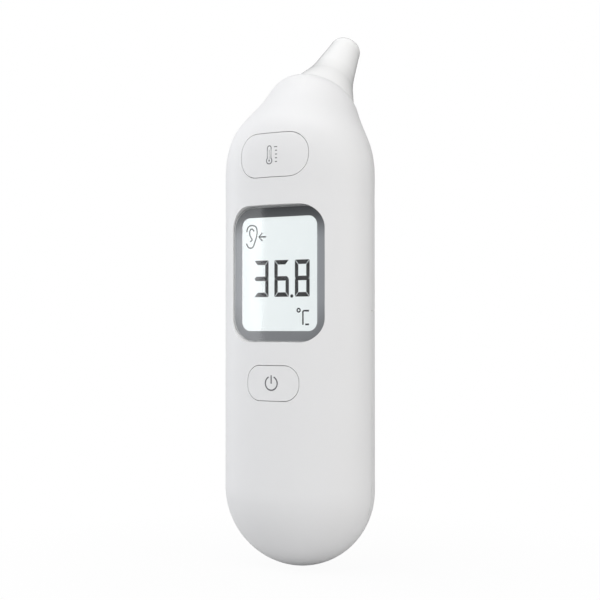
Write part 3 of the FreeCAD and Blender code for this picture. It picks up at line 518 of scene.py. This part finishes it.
# Painted glow on the mask, by share of its height: painted light in place of the light that the window keeps
# from it, with painted shade at the bottom and the top.
MASK_PAINTED_GLOW = (
    (0.0, (0.085, 0.086, 0.09)), (0.12, (0.09, 0.092, 0.096)), (0.3, (0.145, 0.15, 0.158)),
    (0.75, (0.145, 0.15, 0.158)), (0.93, (0.04, 0.042, 0.045)), (1.0, (0.03, 0.032, 0.035)))
SHADES = {
    "front_shell": HOUSING,
    "rear_shell": HOUSING,
    "battery_cover": HOUSING,
    "display_window": Clear("window_clear", (0.985, 0.99, 0.99), index=1.42),
    # the mask's darker second colour is painted shade for its top, and its glow table is painted light
    "display_mask": MaskPrint("mask_grey", (0.27, 0.28, 0.295), (0.05, 0.053, 0.058), MASK_PAINTED_GLOW, 65.4, 104.4),
    "window_tape": Moulded("tape_black", (0.03, 0.03, 0.03), roughness=0.8, grain=0.12, depth=0.02),
    "lcd_panel": Backlit("lcd_glass", (0.745, 0.795, 0.80), 66.0, 104.0),
    "lcd_backlight": Backlit("light_guide", (0.92, 0.96, 0.92), 66.0, 104.0),
    "lcd_frame": Moulded("frame_white", (0.7, 0.7, 0.68), roughness=0.5),
    "contact_strips": Moulded("strip_rubber", (0.06, 0.06, 0.065), roughness=0.7, grain=0.1),
    "main_board": Board("board_green", (0.018, 0.11, 0.045)),
    "controller_chip": Moulded("chip_black", (0.025, 0.025, 0.027), roughness=0.45, grain=0.08, depth=0.01),
    "board_components": Moulded("component_ceramic", (0.36, 0.27, 0.19), roughness=0.5, grain=0.1),
    "quartz_crystal": Metal("crystal_can", (0.70, 0.70, 0.69), 0.25, Direction.ALONG_X),
    "buzzer": Moulded("buzzer_black", (0.035, 0.035, 0.037), roughness=0.5, grain=0.15),
    "ribbon_connector": Moulded("connector_ivory", (0.72, 0.66, 0.5), roughness=0.4, grain=0.2),
    "measure_button": BUTTON,
    "power_button": BUTTON,
    "measure_plunger": Moulded("switch_black", (0.03, 0.03, 0.03), roughness=0.4, grain=0.15),
    "measure_switch": Metal("switch_metal", (0.62, 0.62, 0.61), 0.35, Direction.ALONG_X),
    "power_plunger": Moulded("switch_black", (0.03, 0.03, 0.03), roughness=0.4, grain=0.15),
    "power_switch": Metal("switch_metal", (0.62, 0.62, 0.61), 0.35, Direction.ALONG_X),
    "battery_tray": Moulded("tray_grey", (0.40, 0.41, 0.42), roughness=0.48, grain=0.35, depth=0.01),
    "battery_left": CellWrap("cell_wrap_left", 20.3, 64.9, True),
    "battery_right": CellWrap("cell_wrap_right", 17.0, 61.5, False),
    "battery_link_contact": Metal("contact_nickel", (0.72, 0.70, 0.65), 0.28, Direction.ALONG_X),
    "battery_positive_contact": Metal("contact_nickel", (0.72, 0.70, 0.65), 0.28, Direction.ALONG_X),
    "battery_negative_contact": Metal("contact_nickel", (0.72, 0.70, 0.65), 0.28, Direction.ALONG_X),
    "probe_nozzle": Moulded("nozzle_grey", (0.58, 0.59, 0.60), roughness=0.38, grain=0.3),
    "waveguide_tube": Metal("guide_gold", (0.86, 0.62, 0.25), 0.15, Direction.ALONG_Z),
    "probe_window": Clear("film_clear", (0.9, 0.92, 0.93), 0.05),
    "sensor_holder": Metal("holder_aluminium", (0.74, 0.75, 0.76), 0.3, Direction.ALONG_X),
    "thermopile_sensor": Metal("sensor_nickel", (0.74, 0.72, 0.67), 0.22),
    "sensor_pins": Metal("pin_gold", (0.85, 0.62, 0.28), 0.2, Direction.ALONG_Z),
    "sensor_board": Board("board_green", (0.018, 0.11, 0.045)),
    "sensor_ribbon": RibbonFilm("ribbon_amber", (0.42, 0.16, 0.02), (0.60, 0.30, 0.10)),
    "probe_screws": Metal("screw_steel", (0.60, 0.60, 0.61), 0.3),
    "board_screws": Metal("screw_steel", (0.60, 0.60, 0.61), 0.3),
    "tray_screws": Metal("screw_steel", (0.60, 0.60, 0.61), 0.3),
    "case_screws": Metal("screw_steel", (0.60, 0.60, 0.61), 0.3),
}


def finished(name: str, form: bmesh.types.BMesh, finish: Finish, body: str,
             crease: float = 35.0) -> bpy.types.Object:
    """Turn a built form into a shown piece.

    Args:
        name: Name of the piece.
        form: Its mesh, in metres in the frame.
        finish: What it is made of.
        body: CAD body that it rides on.
        crease: Angle in degrees past which an edge stays sharp.

    Returns:
        The new object.
    """
    for face in form.faces:
        face.smooth = True
    for edge in form.edges:
        edge.smooth = len(edge.link_faces) == 2 and edge.calc_face_angle(0.0) < math.radians(crease)
    mesh = bpy.data.meshes.new(name)
    form.to_mesh(mesh)
    form.free()
    piece = bpy.data.objects.new(name, mesh)
    bpy.context.scene.collection.objects.link(piece)
    mesh.materials.append(finish.material())
    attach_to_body(piece, body)
    LOG.info("%s: %d faces on %s", name, len(mesh.polygons), body)
    return piece


def dress(node: str) -> None:
    """Give a carried-over CAD node its finish."""
    mesh = NODES[node].data
    mesh.materials.clear()
    mesh.materials.append(SHADES[node].material())
    LOG.info("%s: dressed in %s", node, SHADES[node].name)


@dataclass(frozen=True)
class Line:
    """One line of print on the XZ plane: (x, z) points and width in millimetres."""

    points: list[Point]
    width: float
    closed: bool = False
    smooth: bool = False

    def stroke(self, form: bmesh.types.BMesh, level: float) -> None:
        """Add the line as a flattened round tube.

        Args:
            form: Mesh that takes it.
            level: Y of its middle in millimetres.
        """
        curve = bpy.data.curves.new("stroke", "CURVE")
        curve.dimensions = "3D"
        curve.bevel_depth = self.width / 2
        curve.bevel_resolution = 2
        curve.resolution_u = 8
        curve.use_fill_caps = True
        run = curve.splines.new("NURBS" if self.smooth else "POLY")
        run.points.add(len(self.points) - 1)
        for spot, (x, z) in zip(run.points, self.points):
            spot.co = (x, 0.0, z, 1.0)
        run.use_cyclic_u = self.closed
        if self.smooth:
            run.order_u = 3
            run.use_endpoint_u = not self.closed
        holder = bpy.data.objects.new("stroke", curve)
        mesh = bpy.data.meshes.new_from_object(holder)
        flatten = Matrix.Diagonal((MM, PRINT_THICK * MM / self.width, MM, 1.0))
        mesh.transform(Matrix.Translation((0.0, level * MM, 0.0)) @ flatten)
        form.from_mesh(mesh)
        bpy.data.objects.remove(holder)
        bpy.data.curves.remove(curve)
        bpy.data.meshes.remove(mesh)


def arc(centre: Point, radius: float, start: float, end: float, count: int = 12) -> list[Point]:
    """Points on an arc; angles in degrees, anticlockwise from +X towards +Z."""
    steps = [math.radians(start + (end - start) * n / (count - 1)) for n in range(count)]
    return [(centre[0] + radius * math.cos(t), centre[1] + radius * math.sin(t)) for t in steps]


@dataclass
class Housing:
    """White body: front shell, rear shell and battery cover."""

    nodes: tuple[str, ...] = ("front_shell", "rear_shell", "battery_cover")

    def build(self) -> None:
        """Dress the shells."""
        for node in self.nodes:
            dress(node)


@dataclass
class ProbeCap:
    """Removable glossy cover over the probe, turned about the probe's axis; millimetres."""

    seat: tuple[float, float, float] = (0.0, 11.1, 136.3)
    tilt: float = 41.3
    foot: Point = (11.75, 0.15)
    crease: Point = (7.09, 12.57)
    neck: Point = (4.93, 26.0)
    bead: Point = (4.76, 27.95)
    tip: Point = (3.06, 29.6)
    wall: float = 0.55
    film: tuple[float, float] = (29.0, 29.2)
    steps: int = 128

    def place(self) -> Matrix:
        """From the probe's own axis, in millimetres, to the frame."""
        lean = Matrix.Rotation(-math.radians(self.tilt), 4, "X")
        return Matrix.Scale(MM, 4) @ Matrix.Translation(self.seat) @ lean

    def spun(self, profile: list[Point], closed: bool) -> bmesh.types.BMesh:
        """Spin a profile of (radius, height) right round.

        Args:
            profile: Points of the section.
            closed: Join the last point to the first.

        Returns:
            The spun mesh, normals outwards, still on its own axis.
        """
        form = bmesh.new()
        spots = [form.verts.new((radius, 0.0, height)) for radius, height in profile]
        pairs = list(zip(spots, spots[1:])) + ([(spots[-1], spots[0])] if closed else [])
        edges = [form.edges.new(pair) for pair in pairs]
        bmesh.ops.spin(form, geom=spots + edges, cent=(0, 0, 0), axis=(0, 0, 1), angle=math.tau,
                       steps=self.steps, use_merge=True)
        bmesh.ops.remove_doubles(form, verts=form.verts, dist=0.0005)
        bmesh.ops.recalc_face_normals(form, faces=form.faces)
        return form

    def round_rings(self, form: bmesh.types.BMesh, spot: Point, offset: float, segments: int) -> None:
        """Round the ring of edges that runs through a point of the section."""
        near = 0.002
        ring = [edge for edge in form.edges if all(
            abs(vert.co.xy.length - spot[0]) < near and abs(vert.co.z - spot[1]) < near
            for vert in edge.verts)]
        bmesh.ops.bevel(form, geom=ring, offset=offset, segments=segments, affect="EDGES", profile=0.5,
                        material=-1)

    def shell(self) -> bpy.types.Object:
        """Thin flared cone with a rolled base, a soft crease and a rounded tip."""
        inner = [(radius - self.wall, height) for radius, height in (self.foot, self.crease, self.neck)]
        shoulder = (self.bead[0] - self.wall, self.bead[1])
        profile = [self.foot, self.crease, self.neck, self.bead, self.tip, (self.tip[0], self.film[0]),
                   (self.tip[0] + 0.25, self.film[0]), shoulder, inner[2], inner[1], inner[0]]
        form = self.spun(profile, True)
        self.round_rings(form, self.crease, 3.3, 14)
        self.round_rings(form, inner[1], 3.3, 8)
        self.round_rings(form, self.neck, 0.9, 5)
        self.round_rings(form, self.bead, 0.85, 6)
        self.round_rings(form, self.tip, 0.45, 4)
        self.round_rings(form, self.foot, 0.2, 3)
        form.transform(self.place())
        return finished("probe_cover_cone", form, PROBE, "probe_cover", 50.0)

    def membrane(self) -> bpy.types.Object:
        """Film stretched across the open tip."""
        low, high = self.film
        form = self.spun([(0.0, low), (self.tip[0], low), (self.tip[0], high), (0.0, high)], False)
        form.transform(self.place())
        clear = Clear("cover_film", (0.93, 0.93, 0.93), 0.25)
        return finished("probe_cover_film", form, clear, "probe_cover")

    def build(self) -> None:
        """Make the cover's two pieces in place of its CAD solid."""
        for piece in (self.shell(), self.membrane()):
            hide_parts("probe_cover")
        for node in ("probe_nozzle", "waveguide_tube", "probe_window", "sensor_holder", "thermopile_sensor",
                     "sensor_pins", "sensor_board", "sensor_ribbon", "probe_screws"):
            dress(node)


@dataclass
class Display:
    """Window, printed border, lit glass and the dark figures on it; millimetres."""

    level: float = -9.52
    shift: Point = (0.26, -0.08)
    digit_low: float = 78.45
    digit_size: tuple[float, float] = (4.85, 10.6)
    bars: Point = (1.1, 1.28)
    mitre: float = 0.1
    lefts: tuple[float, ...] = (-9.66, -2.81, 4.04)
    digits: tuple[Digit, ...] = (Digit.THREE, Digit.SIX, Digit.EIGHT)
    point: Point = (3.0, 78.65)
    ear_rim: tuple[Point, ...] = (
        (-12.25, 97.5), (-12.15, 98.3), (-11.65, 99.15), (-10.45, 99.5), (-9.0, 99.05), (-8.65, 97.6),
        (-8.9, 95.9), (-9.55, 94.3), (-10.05, 93.0), (-11.1, 92.7), (-11.95, 93.2), (-12.35, 94.15))
    ear_curl: tuple[Point, ...] = (
        (-9.75, 97.65), (-10.15, 98.35), (-10.95, 98.4), (-11.35, 97.3), (-11.15, 96.3), (-10.45, 95.5),
        (-10.45, 94.9), (-11.15, 94.7))
    arrow: tuple[Point, ...] = ((-6.9, 97.15), (-8.1, 95.96), (-6.9, 94.75))
    ink: Finish = Ink("segment_black", (0.006, 0.006, 0.007), 0.35)

    def bar(self, form: bmesh.types.BMesh, start: Point, end: Point, taper: int, insets: Point) -> None:
        """One bar of a figure, mitred at its ends.

        Args:
            form: Mesh that takes the bar.
            start: First end (x, z) on the middle line.
            end: Second end (x, z) on the middle line.
            taper: Side that is shorter: 1 for the left of the run, -1 for the right, 0 for both.
            insets: How much shorter that side is at the start and at the end.
        """
        first, last = Vector((start[0], 0, start[1])), Vector((end[0], 0, end[1]))
        run = last - first
        width = self.bars[0] if run.z else self.bars[1]
        flat = bmesh.ops.create_grid(form, x_segments=1, y_segments=2, size=0.5)["verts"]
        for vert in flat:
            share = 0.5 + taper * vert.co.y if taper else abs(vert.co.y)
            reach = run.length / 2 - self.mitre - insets[vert.co.x > 0] * share
            vert.co = (math.copysign(reach, vert.co.x), vert.co.y * width, 0.0)
        turn = Matrix.Rotation(math.atan2(run.z, run.x), 4, "Z")
        lay_up = Matrix.Rotation(math.pi / 2, 4, "X")
        bmesh.ops.transform(form, matrix=Matrix.Translation((first + last) / 2) @ lay_up @ turn, verts=flat)

    def figure(self, form: bmesh.types.BMesh, digit: Digit, left: float) -> None:
        """Add the dark bars of one figure."""
        width, height = self.digit_size
        wide, high = self.bars
        right, low, top = left + width, self.digit_low, self.digit_low + height
        x0, x1, middle = left + wide / 2, right - wide / 2, (low + top) / 2
        bars = {"a": ((left, top - high / 2), (right, top - high / 2), -1, (wide, wide)),
                "b": ((x1, middle), (x1, top), 1, (high / 2, high)),
                "c": ((x1, low), (x1, middle), 1, (high, high / 2)),
                "d": ((left, low + high / 2), (right, low + high / 2), 1, (wide, wide)),
                "e": ((x0, low), (x0, middle), -1, (high, high / 2)),
                "f": ((x0, middle), (x0, top), -1, (high / 2, high)),
                "g": ((left, middle), (right, middle), 0, (wide * 1.1, wide * 1.1))}
        for letter in digit.value:
            self.bar(form, *bars[letter])

    def figures(self) -> bpy.types.Object:
        """Reading on the glass, in thin raised bars."""
        form = bmesh.new()
        for digit, left in zip(self.digits, self.lefts):
            self.figure(form, digit, left)
        dot = bmesh.ops.create_circle(form, cap_ends=True, segments=20, radius=0.5)["verts"]
        bmesh.ops.transform(form, verts=dot, matrix=Matrix.Translation((self.point[0], 0, self.point[1]))
                            @ Matrix.Rotation(math.pi / 2, 4, "X"))
        grown = bmesh.ops.extrude_face_region(form, geom=form.faces[:])["geom"]
        backs = [item for item in grown if isinstance(item, bmesh.types.BMVert)]
        bmesh.ops.translate(form, vec=(0, 0.03, 0), verts=backs)
        bmesh.ops.recalc_face_normals(form, faces=form.faces)
        place = Matrix.Translation((self.shift[0], self.level - 0.015, self.shift[1]))
        form.transform(Matrix.Scale(MM, 4) @ place)
        return finished("lcd_figures", form, self.ink, "housing", 20.0)

    def symbols(self) -> bpy.types.Object:
        """Ear with its arrow, and the unit."""
        form = bmesh.new()
        ring = arc((5.27, 74.55), 0.52, 0, 330, 12)
        corner = [(8.65, 74.4), (6.95, 74.4), (6.68, 74.1), (6.68, 70.4)]
        for line in (Line(list(self.ear_rim), 0.4, smooth=True), Line(list(self.ear_curl), 0.4, smooth=True),
                     Line(list(self.arrow), 0.4), Line([(-8.0, 95.96), (-5.65, 95.96)], 0.4),
                     Line(ring, 0.4, closed=True, smooth=True), Line(corner, 0.5),
                     Line([(7.45, 70.5), (8.65, 70.5)], 0.5)):
            line.stroke(form, self.level)
        form.transform(Matrix.Translation((self.shift[0] * MM, 0.0, self.shift[1] * MM)))
        return finished("lcd_symbols", form, self.ink, "housing", 60.0)

    def build(self) -> None:
        """Dress the display's layers and add what it shows."""
        for node in ("display_window", "display_mask", "window_tape", "lcd_panel", "lcd_backlight",
                     "lcd_frame", "contact_strips"):
            dress(node)
        self.figures()
        self.symbols()


@dataclass
class Button:
    """One push button with the symbol printed on it."""

    word: str
    ink: Finish = Ink("symbol_grey", (0.12, 0.12, 0.13), 0.4)
    lines: list[Line] = field(default_factory=list)

    def symbol(self) -> bpy.types.Object:
        """Print the lines onto the cap's curved face."""
        form = bmesh.new()
        for line in self.lines:
            line.stroke(form, 0.0)
        skin = NODES[f"{self.word}_button"].data
        tree = BVHTree.FromPolygons([v.co for v in skin.vertices], [p.vertices[:] for p in skin.polygons])
        for vert in form.verts:
            hit = tree.ray_cast(Vector((vert.co.x, -0.1, vert.co.z)), Vector((0, 1, 0)))[0]
            vert.co.y += hit.y - 0.004 * MM
        return finished(f"{self.word}_symbol", form, self.ink, f"{self.word}_button", 60.0)

    def build(self) -> None:
        """Dress the button and its switch, and print its symbol."""
        for part in ("button", "plunger", "switch"):
            dress(f"{self.word}_{part}")
        self.symbol()


def measure_lines() -> list[Line]:
    """A small thermometer beside five ticks."""
    x, bulb, top = -0.59, 117.0, 120.65
    neck = 43
    tube = arc((x, bulb), 0.9, neck - 270, 90 - neck, 18) + arc((x, top), 0.62, 0, 180, 9)
    lines = [Line(tube, 0.28, closed=True), Line([(x, bulb), (x, 120.1)], 0.16),
             Line(arc((x, bulb), 0.12, 0, 330, 8), 0.3, closed=True, smooth=True)]
    for row in range(5):
        z = 120.9 - 1.06 * row
        lines.append(Line([(1.0 if row == 0 else 1.35, z), (2.0, z)], 0.28))
    return lines


def power_lines() -> list[Line]:
    """The usual broken ring and bar."""
    ring = arc((0.0, 53.7), 1.96, 115, 425, 32)
    return [Line(ring, 0.4), Line([(0.0, 53.6), (0.0, 56.0)], 0.4)]


@dataclass
class Power:
    """Board, batteries and fasteners inside."""

    nodes: tuple[str, ...] = (
        "main_board", "controller_chip", "board_components", "quartz_crystal", "buzzer", "ribbon_connector",
        "battery_tray", "battery_left", "battery_right", "battery_link_contact", "battery_positive_contact",
        "battery_negative_contact", "board_screws", "tray_screws", "case_screws")

    def build(self) -> None:
        """Dress everything that only shows when the thermometer is open."""
        for node in self.nodes:
            dress(node)


@dataclass(frozen=True)
class Lamp:
    """Soft box that faces the middle of the thermometer; metres and watts."""

    name: str
    place: tuple[float, float, float]
    size: tuple[float, float]
    watts: float
    colour: Colour

    def build(self) -> None:
        """Hang the lamp, out of the camera's sight."""
        light = bpy.data.lights.new(self.name, "AREA")
        light.shape = "RECTANGLE"
        light.size, light.size_y = self.size
        light.energy = self.watts
        light.color = self.colour
        lamp = bpy.data.objects.new(self.name, light)
        bpy.context.scene.collection.objects.link(lamp)
        aim = Vector((0.0, 0.0, 0.085)) - Vector(self.place)
        turn = aim.to_track_quat("-Z", "Y").to_matrix().to_4x4()
        lamp.matrix_world = Matrix.Translation(self.place) @ turn
        lamp.visible_camera = False


@dataclass
class Studio:
    """Pale floor, soft lights and the camera; metres and watts."""

    camera_place: tuple[float, float, float] = (0.19171, -0.33122, 0.06935)
    camera_turn: tuple[float, float, float] = (91.24, 0.0, 30.02)
    lens: float = 78.0
    lamps: tuple[Lamp, ...] = (
        Lamp("key_left", (-0.492, -0.593, 0.12), (0.22, 0.6), 1.15, (0.96, 0.98, 1.0)),
        Lamp("fill_left", (-0.85, -0.05, 0.25), (0.4, 0.6), 1.8, (0.96, 0.975, 1.0)),
        Lamp("top_soft", (-0.08, -0.28, 0.75), (0.7, 0.6), 2.6, (1.0, 1.0, 1.0)),
        Lamp("fill_right", (0.80, -0.25, 0.25), (0.4, 0.6), 3.0, (1.0, 0.985, 0.96)))

    def floor(self) -> None:
        """Pale floor whose far part glows as softly as the sky behind it."""
        form = bmesh.new()
        bmesh.ops.create_circle(form, cap_ends=True, segments=96, radius=6.0)
        bmesh.ops.translate(form, vec=(0, 0, -0.0006), verts=form.verts)
        mesh = bpy.data.meshes.new("studio_floor")
        form.to_mesh(mesh)
        form.free()
        made = bpy.data.materials.new("studio_floor")
        made.use_nodes = True
        tree = Tree(made.node_tree)
        near = tree.add("ShaderNodeBsdfDiffuse", {"Color": (0.62, 0.62, 0.62, 1.0)})
        far = tree.add("ShaderNodeEmission", {"Color": (1.0, 1.0, 1.0, 1.0), "Strength": 1.0})
        reach = tree.add("ShaderNodeVectorMath", {0: tree.place()}, operation="LENGTH").outputs["Value"]
        share = tree.add("ShaderNodeMapRange", {"Value": reach, "From Min": 0.0, "From Max": 0.12,
                                                "To Min": 0.95}).outputs[0]
        eye = tree.add("ShaderNodeLightPath").outputs["Is Camera Ray"]
        mixed = tree.add("ShaderNodeMixShader", {0: tree.math("MULTIPLY", share, eye), 1: near.outputs[0],
                                                 2: far.outputs[0]})
        tree.add("ShaderNodeOutputMaterial", {"Surface": mixed.outputs[0]})
        mesh.materials.append(made)
        floor = bpy.data.objects.new("studio_floor", mesh)
        bpy.context.scene.collection.objects.link(floor)

    def sky(self) -> None:
        """White surround, dimmer for the light it casts than for the eye."""
        world = bpy.data.worlds.new("studio_sky")
        bpy.context.scene.world = world
        world.use_nodes = True
        tree = Tree(world.node_tree)
        seen = tree.add("ShaderNodeBackground", {"Color": (1.0, 1.0, 1.0, 1.0), "Strength": 1.0})
        way = tree.add("ShaderNodeVectorMath", {0: tree.add("ShaderNodeTexCoord").outputs["Generated"],
                                                1: (0.42, 0.88, -0.2)},
                       operation="DOT_PRODUCT").outputs["Value"]
        dim = tree.add("ShaderNodeMapRange", {"Value": way, "From Min": -0.6, "From Max": 0.8, "To Min": 0.57,
                                              "To Max": 0.22}).outputs[0]
        cast = tree.add("ShaderNodeBackground", {"Color": (0.985, 0.99, 1.0, 1.0), "Strength": dim})
        eye = tree.add("ShaderNodeLightPath").outputs["Is Camera Ray"]
        both = tree.add("ShaderNodeMixShader", {0: eye, 1: cast.outputs[0], 2: seen.outputs[0]})
        tree.add("ShaderNodeOutputWorld", {"Surface": both.outputs[0]})

    def build(self) -> None:
        """Set up floor, sky, lamps and camera."""
        self.floor()
        self.sky()
        for lamp in self.lamps:
            lamp.build()
        data = bpy.data.cameras.new("front_camera")
        data.lens, data.sensor_width = self.lens, 36.0
        data.clip_start = 0.01
        camera = bpy.data.objects.new("front_camera", data)
        camera.location = self.camera_place
        camera.rotation_euler = tuple(math.radians(angle) for angle in self.camera_turn)
        bpy.context.scene.collection.objects.link(camera)
        bpy.context.scene.camera = camera
        bpy.context.scene.view_settings.view_transform = "Standard"


def main() -> None:
    """Build every sub-assembly and the studio round it."""
    logging.basicConfig(level=logging.INFO, format="%(name)s: %(message)s")
    for flat in list(bpy.data.materials):
        bpy.data.materials.remove(flat)
    for part in (Housing(), ProbeCap(), Display(), Button("measure", lines=measure_lines()),
                 Button("power", lines=power_lines()), Power(), Studio()):
        LOG.info("building %s", type(part).__name__)
        part.build()


if __name__ == "__main__":
    main()
